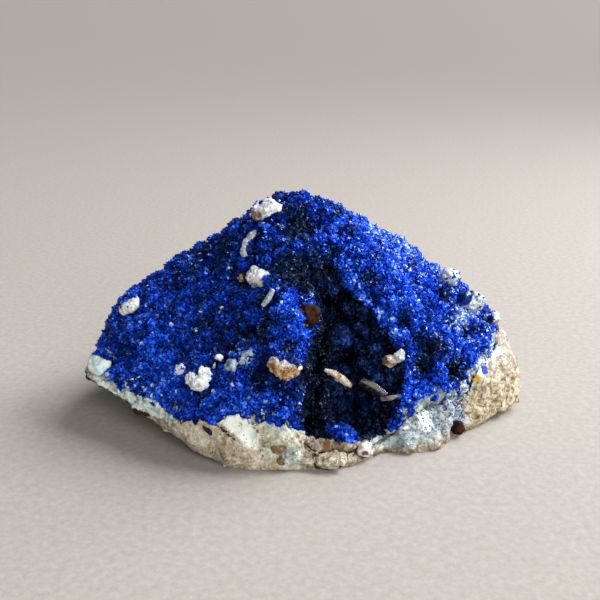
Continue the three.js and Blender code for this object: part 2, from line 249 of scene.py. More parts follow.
def cells(points, size, seed):
    """Scattered cells about size millimetres apart: for each point, how far it is from the nearest cell's
    middle, how much farther from the next one's, and a number from 0 to 1 that is the nearest cell's own."""
    scaled = points / size
    base = np.floor(scaled).astype(np.int64)
    first = np.full(len(points), 9.0)
    second = np.full(len(points), 9.0)
    own = np.zeros(len(points))
    for step in np.ndindex(3, 3, 3):
        i, j, k = (base + step - 1).T
        middle = np.stack([i, j, k], 1) + np.stack([hashed(i, j, k, seed + n) for n in range(3)], 1)
        far = np.linalg.norm(middle - scaled, axis=1)
        second = np.minimum(second, np.maximum(first, far))
        own = np.where(far < first, hashed(i, j, k, seed + 3), own)
        first = np.minimum(first, far)
    return first * size, (second - first) * size, own


def rise(values, low, high):
    """0 below low, 1 above high and a smooth rise between."""
    share = np.clip((values - low) / (high - low), 0, 1)
    return share * share * (3 - 2 * share)


def marks(points, *places):
    """The sum of soft round marks, each given as x, y, z, radius and amount."""
    total = np.zeros(len(points))
    for x, y, z, radius, amount in places:
        total += amount * np.exp(-(((points - (x, y, z)) ** 2).sum(1)) / radius**2)
    return total


def far_from_line(points, line):
    """How far points are, in millimetres, from a line through a list of places."""
    far = np.full(len(points), 99.0)
    for start, end in zip(line[:-1], line[1:]):
        along = np.array(end) - start
        share = np.clip((points - start) @ along / (along @ along), 0, 1)
        far = np.minimum(far, np.linalg.norm(points - start - share[:, None] * along, axis=1))
    return far


def near_line(points, line, radius):
    """1 on a line through a list of places, falling softly to 0 at about twice the radius from it."""
    return np.exp(-((far_from_line(points, line) / radius) ** 2))


CLEFT = [(3.2, -11, 20.5), (2.2, -13.5, 18), (1.2, -16.5, 15), (0.7, -19, 12.5), (0.4, -21.8, 9.6),
         (0.4, -23.6, 7)]
CLEFT_FLOOR = [(x, y + 3, z - 1) for x, y, z in CLEFT]
INWARD = np.array([0.1, 0.93, -0.32])


def sunk(points):
    """Points moved into the stone where the deep cleft and the hollow at the front centre are."""
    depth = 5.0 * near_line(points, CLEFT, 1.9) * rise(points[:, 2], 4.5, 8)
    depth += marks(points, (8, -7.5, 21, 3.6, 2.0), (9.5, -14.5, 6, 4, 2.4), (8, -9.5, 14.5, 3, 0.6),
                   (13.5, -16, 8, 3, 1.2), (-2.6, -19.3, 19.3, 1.4, 1.6), (3.5, -7, 27, 2.6, 1.4))
    return points + depth[:, None] * INWARD


edge_tree = KDTree(40000)
crust_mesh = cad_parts["azurite_crust"].data
for polygon in crust_mesh.polygons:
    if abs(polygon.normal.z) > 0.02:
        continue
    first, second, third = [np.array(crust_mesh.vertices[number].co) / MM for number in polygon.vertices]
    for u in np.linspace(0, 1, 9):
        for v in np.linspace(0, 1 - u, 7):
            edge_tree.insert(first + u * (second - first) + v * (third - first), 0)
edge_tree.balance()


def from_edge(points):
    """How far points are from the upright outer edge of the azurite crust, in millimetres."""
    return np.array([edge_tree.find(point)[2] for point in points])


def add_piece(name, points, faces, material, replaced=(), flat=False, values=None, map_places=None):
    """Makes a mesh from points in millimetres and adds it to the specimen."""
    mesh = bpy.data.meshes.new(name)
    mesh.vertices.add(len(points))
    mesh.vertices.foreach_set("co", (points * MM).astype(np.float32).ravel())
    mesh.loops.add(faces.size)
    mesh.loops.foreach_set("vertex_index", faces.astype(np.int32).ravel())
    mesh.polygons.add(len(faces))
    mesh.polygons.foreach_set("loop_start", np.arange(0, faces.size, faces.shape[1], dtype=np.int32))
    mesh.update(calc_edges=True)
    for key, numbers in (values or {}).items():
        attribute = mesh.attributes.new(key, "FLOAT", "POINT")
        attribute.data.foreach_set("value", np.asarray(numbers, np.float32))
    if map_places is not None:
        layer = mesh.uv_layers.new(name="OFBake")
        layer.uv.foreach_set("vector", map_places.astype(np.float32).ravel())
    mesh.materials.append(material)
    if flat:
        mesh.shade_flat()
    else:
        mesh.shade_smooth()
    piece = bpy.data.objects.new(name, mesh)
    scene.collection.objects.link(piece)
    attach(piece, "root")
    if replaced:
        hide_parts(*replaced)


def wedge_side(points):
    """How far a place is, in millimetres, past the seam that runs down the front from the crust's edge:
    smooth tan rock is on the left of the seam and cream rock on its right."""
    return 0.54 * (points[:, 0] + 16.6) + 0.84 * (points[:, 2] - 8.4) + 0.4 * soft_noise(points, 1.6, 12)


def right_end(points):
    """0 left of the rusty right end of the rock, 1 on it."""
    return rise(points[:, 0] + 0.3 * points[:, 2] + 1.3 * soft_noise(points, 3.5, 11), 30.5, 32.5)


def rock_zones(points):
    """Where each kind of rock and each stain shows, as numbers at the points."""
    x, y, z = points.T
    wander = soft_noise(points, 3.5, 11)
    front = 1 - rise(y + 3 * wander, -6, 0)
    wedge = wedge_side(points)
    ochre = right_end(points)
    quartz = rise(x + wander, 9, 14) * front * rise(z + 0.9 * wander, 0.8, 2.2)
    back_patches = rise(soft_noise(points, 9, 17) + 0.3 * wander, 0.1, 0.4)
    quartz = np.maximum(quartz, (1 - front) * back_patches) * (1 - ochre)
    quartz = np.clip(quartz + marks(points, (-2.8, -26.7, 2.9, 1.8, 0.8)), 0, 1)
    white = rise(wedge, 0, 0.4) * (1 - rise(wedge - 0.42 * (z - 2.2) + 0.9 * wander, 0.3, 3))
    white *= (1 - rise(x + wander, -10.5, -7)) * front
    brown = rise(x + 0.6 * wander, -2.2, -0.4) * (1 - quartz)
    brown *= front + 0.5 * (1 - front) * (wander > 0.1)
    below_crust = from_edge(points)
    hazy = (1 - rise(below_crust + 0.3 * wander, 0.2, 1.3)) * rise(x, -11, -8) * (1 - rise(x, -2.5, -0.5))
    by_crust = 1 - rise(below_crust + 0.5 * wander, 0.9, 2.1)
    rim = by_crust * rise(x, 26, 30) * (0.35 + 0.25 * wander)
    rim += by_crust * (0.58 * (1 - rise(x, -27, -20)) + 0.2 * rise(x, -17, -14) * (1 - rise(x, -6, -2)))
    rim += marks(points, (-41, -7, 8.5, 3, 0.3), (21.6, -17.3, 3.6, 2.0, 0.65), (21, -15.5, 6, 1.6, 0.55),
                 (17.5, -18.5, 3.6, 1.4, 0.45), (30, -9.4, 9.7, 1.3, 0.7), (33, -6.2, 11.3, 1.3, 0.7),
                 (37.8, -1.3, 11.7, 1.5, 0.5), (-1.8, -26.4, 3.2, 1.5, 0.4))
    seam = np.exp(-(((z - 4.6 + 0.235 * (x + 30)) / 0.5) ** 2)) * (1 - rise(x, -32, -29)) * (y < 0)
    seam += np.exp(-(((wedge + 0.4) / 0.4) ** 2)) * rise(z, 4, 5.5) * (1 - rise(x, -13, -11)) * (y < 0)
    black = 0.7 * seam + marks(
        points, (-18.3, -23.4, 6.5, 0.9, 0.75), (-17.2, -24.0, 5.8, 0.9, 0.7), (-30, -15.5, 4.5, 1.3, 0.5),
        (-31.5, -14.2, 5.0, 1.0, 0.5), (-22.5, -21.2, 6.2, 0.6, 0.6), (-43.6, -5, 8, 1.2, 0.6),
        (23.5, -19, 2.6, 1.4, 0.5), (35.5, -10.5, 2.5, 2, 0.35))
    return {
        "wedge": wedge,
        "white": white,
        "brown": brown,
        "quartz": quartz,
        "ochre": ochre,
        "hazy": hazy,
        "height": z + 2 * wander,
        "rim": rim,
        "rust": marks(points, (-25.7, -18.1, 7.7, 1.1, 0.8), (3.3, -24.9, 3.9, 1.3, 0.8),
                      (-20, -22.5, 4.2, 0.8, 0.5), (-6, -27, 1.2, 1.2, 0.4), (28, -15.5, 3.6, 1.6, 0.5),
                      (-16, -25, 2, 1.4, 0.35)),
        "gold": marks(points, (32.2, -8.1, 9.0, 1.3, 0.8), (31.8, -10.5, 6, 1.6, 0.4),
                      (34, -9.5, 3, 3, 0.3)),
        "blue": marks(points, (34.4, -6.4, 9.7, 1.0, 0.9), (34.9, -5.4, 11.2, 0.8, 0.8)),
        "black": black,
    }


VOXEL = 0.5  # the mesh size of the rock and the crust, in millimetres
rock, rock_faces = even_mesh("vein_rock_block", VOXEL)
rock = smoothed(rock, rock_faces, 4)
zones = rock_zones(rock)
rock_out = point_normals(rock, rock_faces)
grainy = rise(zones["wedge"], 0, 1) * (1 - 0.25 * zones["ochre"] - 0.5 * zones["quartz"])
grainy = np.maximum(grainy, np.clip(1.4 * zones["rim"], 0, 0.9))
bare_side = rise(np.hypot(rock_out[:, 0], rock_out[:, 1]), 0.2, 0.5) * rise(rock[:, 2], 0.0, 0.5)
_, chunk_gap, chunk_own = cells(rock + 1.5 * soft_noise(rock, 5, 3)[:, None], 5.5, 21)
_, block_gap, block_own = cells(rock + 0.5 * soft_noise(rock, 2, 4)[:, None], 2.3, 25)
_, _, grain_own = cells(rock, 1.1, 31)
relief = 1.2 * (chunk_own - 0.5) * rise(chunk_gap, 0.0, 1.0) + 0.35 * soft_noise(rock, 2.6, 41)
relief += (0.16 + 0.6 * grainy) * ((block_own - 0.5) * rise(block_gap, 0, 0.5) + 0.6 * (grain_own - 0.5))
relief -= (1 - rise(rock[:, 2], 0.2, 1.3)) * (0.5 + 0.5 * soft_noise(rock * (1, 1, 0), 4, 45))
rock = rock + rock_out * (relief * bare_side)[:, None]
rock = sunk(rock) + marks(rock, (0.6, -22.5, 7, 2.6, 1.6))[:, None] * INWARD
rock[:, 2] = np.maximum(rock[:, 2], 0.0)

stone = Shader("vein_rock")
patch = stone.noise(4, 5, 0.65)
coarse = stone.noise(1.8, 5, 0.7, 3)
fine = stone.noise(0.6, 4, 0.7, 5)
tan_mix = stone.blend(patch, fine, 0.5)
tan = stone.ramp(tan_mix, (0.37, (0.13, 0.09, 0.05)), (0.43, (0.34, 0.27, 0.18)), (0.52, (0.56, 0.49, 0.37)),
                 (0.61, (0.80, 0.76, 0.68)))
mixed = stone.blend(coarse, fine, 0.5)
cream = stone.ramp(mixed, (0.37, (0.15, 0.13, 0.06)), (0.46, (0.38, 0.37, 0.24)), (0.58, (0.74, 0.76, 0.66)))
white = stone.ramp(mixed, (0.36, (0.70, 0.74, 0.60)), (0.43, (0.92, 0.99, 0.90)), (0.6, (0.99, 1.0, 0.96)))
brown = stone.ramp(mixed, (0.38, (0.07, 0.04, 0.02)), (0.48, (0.24, 0.18, 0.12)), (0.6, (0.60, 0.54, 0.44)))
sugar = stone.ramp(mixed, (0.38, (0.06, 0.075, 0.08)), (0.47, (0.22, 0.27, 0.29)),
                   (0.62, (0.57, 0.65, 0.66)))
rusty = stone.ramp(mixed, (0.38, (0.11, 0.08, 0.04)), (0.46, (0.27, 0.21, 0.11)), (0.58, (0.68, 0.61, 0.46)))
pinkish = stone.ramp(mixed, (0.38, (0.15, 0.12, 0.10)), (0.47, (0.34, 0.29, 0.24)),
                     (0.6, (0.70, 0.64, 0.57)))
colour = stone.mix(stone.band(stone.attribute("wedge"), 0, 0.3), tan, cream)
colour = stone.stain(colour, "white", stone.math("MULTIPLY", fine, 0.4), 0.4, 1.1, white)
colour = stone.mix(stone.attribute("brown"), colour, brown)
colour = stone.mix(stone.math("MULTIPLY", stone.attribute("hazy"), 0.55), colour, (0.42, 0.56, 0.72))
colour = stone.mix(stone.attribute("quartz"), colour, sugar)
rusty = stone.mix(stone.band(stone.attribute("height"), 5, 11), rusty, pinkish)
colour = stone.mix(stone.attribute("ochre"), colour, rusty)
rind = stone.ramp(mixed, (0.39, (0.12, 0.42, 0.42)), (0.45, (0.58, 0.80, 0.79)), (0.52, (0.90, 0.94, 0.90)),
                  (0.59, (0.86, 0.86, 0.78)), (0.66, (0.42, 0.36, 0.24)))
ragged = stone.blend(coarse, fine, 0.6)
colour = stone.stain(colour, "rim", ragged, 0.85, 0.93, rind)
colour = stone.stain(colour, "rust", ragged, 0.97, 1.05, (0.23, 0.10, 0.03))
colour = stone.stain(colour, "gold", ragged, 0.97, 1.05, (0.75, 0.42, 0.05))
colour = stone.stain(colour, "blue", ragged, 0.95, 1.03, (0.01, 0.05, 0.42))
colour = stone.stain(colour, "black", ragged, 0.95, 1.03, (0.012, 0.011, 0.012))
specks = stone.band(stone.noise(1.1, 3, 0.6, 9), 0.62, 0.66)
colour = stone.mix(stone.math("MULTIPLY", specks, 0.75), colour, (0.05, 0.035, 0.025))
stone.bump(stone.math("ADD", coarse, fine), 0.35, 0.8)
vein_rock = stone.finish(colour, 0.7)
add_piece("vein_rock", rock, rock_faces, vein_rock, ["vein_rock_block"], values=zones)

# ---------------------------------------------------------------- azurite crust
# Azurite grew over the rock's upper side as round clusters that merged into one crust. Its ground is dark
# massive azurite, and tens of thousands of small blades and stout prisms with roof-shaped ends stand on it
# at every angle: fine and even on the long left slope, coarse and sugary elsewhere.


def to_the_left(points):
    """1 on the long left slope of the crust, 0 to the right of its ridge."""
    return 1 - rise(points[:, 0] + 0.25 * points[:, 2], -7, 0)


def in_hollow(points):
    """1 in the dark hollow between the pillar and the ridge on its right, 0 outside it."""
    x, y, z = points.T
    heights = (4, 8, 12, 16, 18, 22, 24.7, 27, 31)
    ridge_x = np.interp(z, heights, (15.5, 16.3, 18, 17.6, 16.1, 12.6, 9.2, 7.0, 5.4))
    pillar_x = np.interp(z, (4, 7, 10, 15, 20, 23, 26, 31), (2, -0.5, -1.0, -0.8, 0.2, 2.2, 1.5, -2.5))
    ragged = 0.7 * soft_noise(points, 1.8, 92) + 0.7 * soft_noise(points, 4, 93)
    across = rise(ridge_x - x + ragged, -0.9, 1.1) * rise(x - pillar_x + ragged, -1.6, 1.4)
    lobe = near_line(points, [(1.6, -24.2, 7.6), (3.9, -23, 7), (6.5, -23.6, 5.6), (9.3, -23.4, 4)], 1.9)
    return across * (1 - rise(z, 28.5, 32.5)) * (y < 2) * (1 - lobe)


RIDGE = [(6.9, -4.3, 31.1), (7.6, -4.8, 28.7), (8.9, -5.8, 26.8), (10, -7, 25), (11.9, -8.4, 23.4),
         (14.6, -9.8, 21.6), (16.6, -12.4, 18.6), (19.2, -12, 14.6), (20.8, -10.6, 12.2)]


def swelling(points):
    """How far the crust's round lumps and knots stand up from its even shape, in millimetres, and how open
    the gaps between the knots are, from 0 to 1."""
    lumpy = marks(points, (-1, -3, 36, 9, 0.9), (5, -9, 20, 8, 0.9), (8, -13, 10, 7, 0.9),
                  (-8, -14, 24, 5, 0.6), (4, 6, 37, 8, 0.5), (26, -6, 16, 7, 0.4), (-32, -9, 14, 6, 0.3))
    lumpy = np.clip(0.42 + lumpy, 0, 1)
    lump_far, lump_gap, lump_own = cells(points + 0.9 * soft_noise(points, 3, 6)[:, None], 4.2, 51)
    knot_far, knot_gap, knot_own = cells(points + 0.6 * soft_noise(points, 2, 5)[:, None], 2.1, 61)
    swell = 2.1 * lumpy * (0.7 - (lump_far / 3.2) ** 2) * (0.6 + 0.6 * lump_own)
    swell += (0.6 + 0.6 * lumpy) * (0.5 - (knot_far / 1.6) ** 2) * (0.5 + knot_own)
    swell += 0.3 * soft_noise(points, 1.0, 71) + 0.4 * soft_noise(points, 4.5, 72)
    gaps = (1 - rise(knot_gap, 0.05, 0.6)) * (0.4 + 0.6 * rise(soft_noise(points, 3, 73), -0.5, 0.4))
    gaps = np.maximum(gaps, (1 - rise(lump_gap, 0.1, 1.1)) * (0.3 + 0.7 * lumpy))
    return swell, gaps


crust, crust_faces = even_mesh("azurite_crust", VOXEL)
crust = smoothed(crust, crust_faces, 4)
crust_out = point_normals(crust, crust_faces)
fringe = 0.2 * soft_noise(crust, 1.4, 9) + 0.15 * soft_noise(crust, 0.7, 10)
fringe += 0.15 * rise(crust[:, 0], 14, 20)
on_skin = (from_edge(crust) > fringe) & (crust_out[:, 2] > -0.3)
by_cleft_foot = (crust[:, 0] > -3) & (crust[:, 0] < 13) & (crust[:, 1] < -16)
foot = np.interp(crust[:, 0], (-3, 1, 4, 6, 9, 13), (5.4, 5.0, 4.9, 4.2, 3.4, 3.2))
foot += 0.3 * soft_noise(crust, 1.2, 19)
on_skin |= near_line(crust, CLEFT, 2.6) > 0.4
on_skin |= by_cleft_foot & (crust_out[:, 2] > -0.6) & (crust_out[:, 1] < 0)
on_skin &= ~by_cleft_foot | (crust[:, 2] > foot)
crust_out = smoothed(crust_out, crust_faces, 8)
crust_out /= np.linalg.norm(crust_out, axis=1, keepdims=True)
top = rise(crust_out[:, 2], -0.35, 0.05)
swell, gaps = swelling(crust)
relief = swell - 0.5 - 0.5 * gaps
relief -= marks(crust, (27.2, -9.9, 11.5, 1.7, 2.2), (22.7, -10.4, 16.3, 2.2, 2.0),
                (21.8, -12.2, 13.4, 1.8, 1.5), (17.8, -10.5, 21.5, 1.5, 1.0), (26.5, 1, 23.4, 1.6, 0.9),
                (-35.4, -7.5, 14, 1.6, 0.7), (-27.7, -11.2, 17, 1.6, 0.8), (-9, -20.5, 15.5, 2.5, 1.2),
                (-10.5, -15, 22, 2.2, 1.1), (-7.5, -13.5, 23.5, 2, 1.0))
relief += marks(crust, (-34.4, -10.9, 10.1, 2.2, 0.9), (-31.6, -8, 17.7, 1.8, 0.5),
                (-7.5, -4.9, 35.4, 2.4, 1.3), (8.5, -23.1, 4.6, 2.5, 0.5), (32.7, -1, 16.3, 1.3, 1.7),
                (35.2, -0.4, 16, 1.2, 1.4), (36.5, 2.2, 17, 1.2, 1.3), (26.8, 1.3, 23.4, 1.4, 1.3),
                (-3.2, -14.3, 26.1, 2, 0.8), (-3, -16.4, 23.2, 2.2, 1.2), (-0.9, -18.1, 19.4, 1.2, 1.0))
relief += 0.8 * near_line(crust, RIDGE, 1.2)
crust = sunk(crust + crust_out * (relief * top)[:, None])
crust[:, 2] = np.maximum(crust[:, 2], 0.3)
crust_out = point_normals(crust, crust_faces)

blue = Shader("azurite")
depth = blue.ramp(blue.math("MULTIPLY", blue.attribute("tone"), 0.5), (0.0, (0.0001, 0.0003, 0.0015)),
                  (0.12, (0.0005, 0.005, 0.06)), (0.3, (0.002, 0.038, 0.52)), (0.5, (0.014, 0.13, 1.0)),
                  (0.75, (0.13, 0.32, 0.95)), (1.0, (0.55, 0.75, 0.95)))
duller = blue.ramp(blue.attribute("tone"), (0.02, (0.5, 0.5, 0.5)), (0.3, (0.24, 0.24, 0.24)))
azurite = blue.finish(depth, duller, IOR=1.73, Specular_Tint=(0.22, 0.48, 1.0, 1))
# A darker copy of the azurite, with weaker reflections, for the hollow, the cleft and the pits: painted
# shade over the dark azurite there.
deep = Shader("shaded_dark_azurite")
shaded_dark_blue = deep.ramp(deep.attribute("tone"), (0.0, (0.0002, 0.0003, 0.0008)),
                      (0.15, (0.0014, 0.003, 0.012)), (0.5, (0.008, 0.022, 0.10)), (1.0, (0.03, 0.11, 0.5)))
shaded_dark_azurite = deep.finish(shaded_dark_blue, 0.35, IOR=1.45, Specular_IOR_Level=0.25,
                           Specular_Tint=(0.4, 0.6, 1.0, 1))


def paleness(points):
    """How pale the azurite is from the quartz below: most along the right skyline and at the right end."""
    return marks(points, (7.8, -4.9, 28.3, 2.0, 0.3), (-38.3, -8.6, 8.6, 1.7, 1.7),
                 (31.6, 1, 18.8, 2.3, 0.6), (10, 8, 36, 4, 0.3), (14, 8, 34, 4, 0.7), (19, 7, 31, 5, 0.8),
                 (18, 2.5, 29, 3, 0.4), (24, 5, 27, 4, 0.8), (28, 3, 24, 3, 0.7), (30, -1, 17.7, 2.6, 0.9),
                 (33.5, 2, 19, 2.6, 0.9), (36, -2, 14, 3, 0.9), (31.6, -7.5, 11, 2, 0.8),
                 (38, 1, 14, 2.5, 0.8), (5, -1, 39, 2, 0.3))


def brightness(points):
    """How bright the azurite is painted at a place, partly its own tone and partly painted light and shade:
    near 0 in the gaps between its knots, as painted shade, about 1 on the right slope and the lower edge,
    and up to 2 or more where it is pale. Lumps are painted lighter on top."""
    x, y, z = points.T
    left = to_the_left(points)
    # Lighter low on the left slope and on the right side: partly the azurite's own tone, partly painted
    # light and painted shadow.
    base = 0.64 + (0.14 + 0.12 * (1 - rise(z - 0.1 * x, 12, 20))) * left + 0.25 * rise(x + 0.3 * y, 5, 12)
    # Lighter marks: partly paler azurite, partly painted light on raised lumps of the pillar and the crest.
    base += marks(points, (-34.4, -10.9, 10.1, 2.5, 0.25), (-31.6, -8, 17.7, 2.2, 0.2),
                  (-7.8, -6.6, 35.6, 2.6, 0.6), (-2.3, -5.5, 34.1, 1.5, 0.4), (-3.2, -14.3, 26.1, 2.6, 1.15),
                  (-3, -16.2, 23.4, 2.8, 1.2), (-0.9, -18.1, 19.4, 1.5, 1.2), (2.5, -23.4, 7.2, 1.8, 0.6),
                  (8.5, -23.1, 4.6, 2.8, 0.6), (19.8, -15.5, 8.2, 3, 0.3), (5, -1, 38, 3, 0.35),
                  (8, -1, 34, 3, 0.2))
    base += marks(points, (-29.4, -9.9, 17, 6, 0.34), (-26, -16, 11, 5, 0.22))
    # Darker marks: partly darker azurite, partly painted shade in the pits sunk into the crust and painted
    # shadow on the upper left slope and round the crest.
    base -= marks(points, (-18, 2.6, 31.3, 7, 0.42), (-2.8, -8.8, 31.8, 3, 0.45),
                  (-1.4, -9.3, 30.1, 2.5, 0.35), (-1.4, -2.6, 37.7, 2.5, 0.35),
                  (-1.4, 0.1, 39.9, 1.8, 0.3), (-9.8, -6, 31.2, 2.2, 0.35), (-12.4, -10.2, 25.5, 4, 0.25),
                  (-10, -15.4, 21.7, 3.4, 0.26), (-8.5, -21, 15.2, 2.6, 0.55), (-3, -3, 38, 5, 0.3),
                  (1.5, -7, 30, 4.5, 0.5), (-35.4, -7.5, 14, 2, 0.5), (-27.7, -11.2, 17, 2, 0.5),
                  (17.8, -10.5, 21.5, 1.8, 0.5), (26.8, 1.3, 23.4, 2, 0.6), (-22, -12, 17, 3, 0.2),
                  (-16, -14, 19, 3, 0.25))
    # The shade marks are painted shade in the pits sunk into the right slope, and they darken the dark knobs
    # near the right end.
    shade = marks(points, (27.5, -8.2, 10.8, 2.4, 0.9), (22.9, -9.2, 16.2, 2.6, 0.9),
                  (21.2, -10, 12.5, 2.2, 0.8), (32.5, -2.4, 16.8, 1.6, 0.8), (36, 1.0, 17.4, 1.5, 0.8),
                  (27.3, 0.8, 22.9, 1.6, 0.7), (17.6, -9, 21.2, 1.6, 0.7), (-3, -19.1, 19.7, 1.4, 0.9))
    shade = np.clip(shade, 0, 0.95)
    swell, gaps = swelling(points)
    patchy = 1 + 0.4 * soft_noise(points, 2.6, 81) + 0.25 * soft_noise(points, 1.2, 82)
    # Painted light and shade: lumps lighter on top, gaps between the knots darker.
    patchy += 0.35 * np.clip(swell, -1.2, 1.2)
    blues = np.clip(base * patchy, 0.03, 1.3) * (1 - shade) * (1 - 0.75 * gaps)
    pale = paleness(points) * (0.5 + 0.5 * soft_noise(points, 0.9, 83))
    pale += 2.1 * near_line(points, RIDGE[:4], 1.2) + 1.7 * near_line(points, RIDGE[3:7], 0.7)
    pale += marks(points, (31.3, 0.6, 18.8, 2.2, 1.25), (30, 1.3, 20.6, 1.6, 0.9))
    return blues + pale * (1 - shade) * (1 - 0.5 * gaps)


def depth_of_shade(points):
    """1 inside the hollow, the cleft and the pits, where the azurite is painted almost black, its own dark
    colour with painted shade over it, 0 outside them.
    """
    by_cleft = near_line(points, CLEFT_FLOOR, 2.6)
    pits = marks(points, (27.5, -8.2, 10.8, 1.9, 0.9), (22.9, -9.2, 16.2, 2.1, 0.9),
                 (21.2, -10, 12.5, 1.5, 0.7), (17.6, -9, 21.2, 1.2, 0.7), (-10.5, -15, 22, 1.4, 0.7),
                 (-8.8, -21, 15.2, 1.6, 0.7))
    return np.clip(in_hollow(points) + by_cleft + pits, 0, 1)


def dim(points):
    """How bright the azurite in the hollow is painted: almost black with painted shade, a little painted
    light on top of its clusters, and painted shade deepest along the floor of the cleft.
    """
    swell, gaps = swelling(points)
    light = 0.3 + marks(points, (8, -8.5, 17, 3.6, 0.4), (11.7, -10.8, 15.8, 3, 0.3),
                        (14.5, -12.5, 17.5, 1.6, 0.7),
                         (5, -7, 26.5, 3, 0.3), (9, -12, 12.5, 2.5, 0.3), (13.5, -14, 11.5, 1.5, 0.5))
    light *= np.clip(1 + 0.9 * swell, 0.1, 2) * (1 - 0.8 * gaps)
    return light * (1 - near_line(points, CLEFT_FLOOR, 2.4))


def part_of(points, faces, chosen):
    """The chosen faces of a mesh, with only the points that they need, and which points those are."""
    kept = np.unique(faces[chosen])
    renumbered = np.zeros(len(points), int)
    renumbered[kept] = np.arange(len(kept))
    return points[kept], renumbered[faces[chosen]], kept


on_skin_faces = on_skin[crust_faces].mean(1) > 0.5
ground, ground_faces, kept = part_of(crust, crust_faces, on_skin_faces)
ground_out = crust_out[kept]
shaded = depth_of_shade(ground)
in_shade = shaded[ground_faces].mean(1) > 0.5
open_ground, open_faces, kept = part_of(ground, ground_faces, ~in_shade)
druse = (open_ground, open_faces, ground_out[kept])
# Painted shade: the open azurite is darker next to the hollow and the cleft.
open_tone = brightness(open_ground) * (1 - 0.8 * shaded[kept])
add_piece("azurite_ground", open_ground, open_faces, azurite, ["azurite_crust"],
          values={"tone": 0.5 * open_tone})
deep_ground, deep_faces, kept = part_of(ground, ground_faces, in_shade)
deep_druse = (deep_ground, deep_faces, ground_out[kept])
deep_tone = dim(deep_ground)
add_piece("azurite_ground_in_hollow", deep_ground, deep_faces, shaded_dark_azurite,
          values={"tone": 0.5 * deep_tone})
by_edge = from_edge(crust)[crust_faces].mean(1) < 4.5
lip, lip_faces, kept = part_of(crust, crust_faces, by_edge & ~on_skin_faces)
add_piece("crust_lip", lip, lip_faces, vein_rock, values=rock_zones(lip))
lip_side = (lip, lip_faces, crust_out[kept])

stone_hulls = []
for node_name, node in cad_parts.items():
    if node_name not in ("vein_rock_block", "azurite_crust"):
        on_face = np.array([polygon.center for polygon in node.data.polygons]) / MM
        outward = np.array([polygon.normal for polygon in node.data.polygons])
        stone_hulls.append((on_face, outward))


def clear_of_stones(points):
    """True for the points that are outside every lump of another mineral, by a small margin."""
    clear = np.ones(len(points), bool)
    for on_face, outward in stone_hulls:
        near = np.flatnonzero(np.linalg.norm(points - on_face.mean(0), axis=1) < 6)
        depth = ((points[near, None] - on_face[None]) * outward[None]).sum(2).max(1)
        clear[near[depth < 0.12]] = False
    return clear


# The shade numbers at each crystal's corners paint it darker at its base and lighter at its tip: painted
# shade where the crystals crowd at their feet and painted light on their tips.
BLADE = {
    "points": [(-1, -1, -0.5), (1, -1, -0.5), (1, 1, -0.5), (-1, 1, -0.5), (-0.55, 0, 1), (0.55, 0, 0.85)],
    "faces": [(0, 1, 5), (0, 5, 4), (1, 2, 5), (2, 3, 4), (2, 4, 5), (3, 0, 4)],
    "shade": [0.35, 0.35, 0.35, 0.35, 1.15, 1.15],
}
PRISM = {
    "points": [(-1, -0.8, -0.5), (1, -0.8, -0.5), (1, 0.8, -0.5), (-1, 0.8, -0.5), (-1, -0.8, 0.55),
               (1, -0.8, 0.6), (1, 0.8, 0.55), (-1, 0.8, 0.6), (-0.5, 0, 1), (0.5, 0, 0.95)],
    "faces": [(0, 1, 5), (0, 5, 4), (1, 2, 6), (1, 6, 5), (2, 3, 7), (2, 7, 6), (3, 0, 4), (3, 4, 7),
              (4, 5, 9), (4, 9, 8), (5, 6, 9), (6, 7, 8), (6, 8, 9), (7, 4, 8)],
    "shade": [0.3, 0.3, 0.3, 0.3, 0.95, 0.95, 0.95, 0.95, 1.15, 1.15],
}


def one_cell_each(count, crystal):
    """A flat map with a square cell for each crystal, in which its faces overlap with their tips up."""
    across = int(np.ceil(np.sqrt(count)))
    cell = np.stack([np.arange(count) % across, np.arange(count) // across], 1)
    heights = np.array(crystal["points"])[np.array(crystal["faces"])][..., 2]
    inside = np.empty((*heights.shape, 2))
    inside[..., 0] = (0.15, 0.85, 0.5)
    inside[..., 1] = 0.15 + 0.7 * (heights + 0.5) / 1.5
    return (cell[:, None, None] + inside[None]) / across


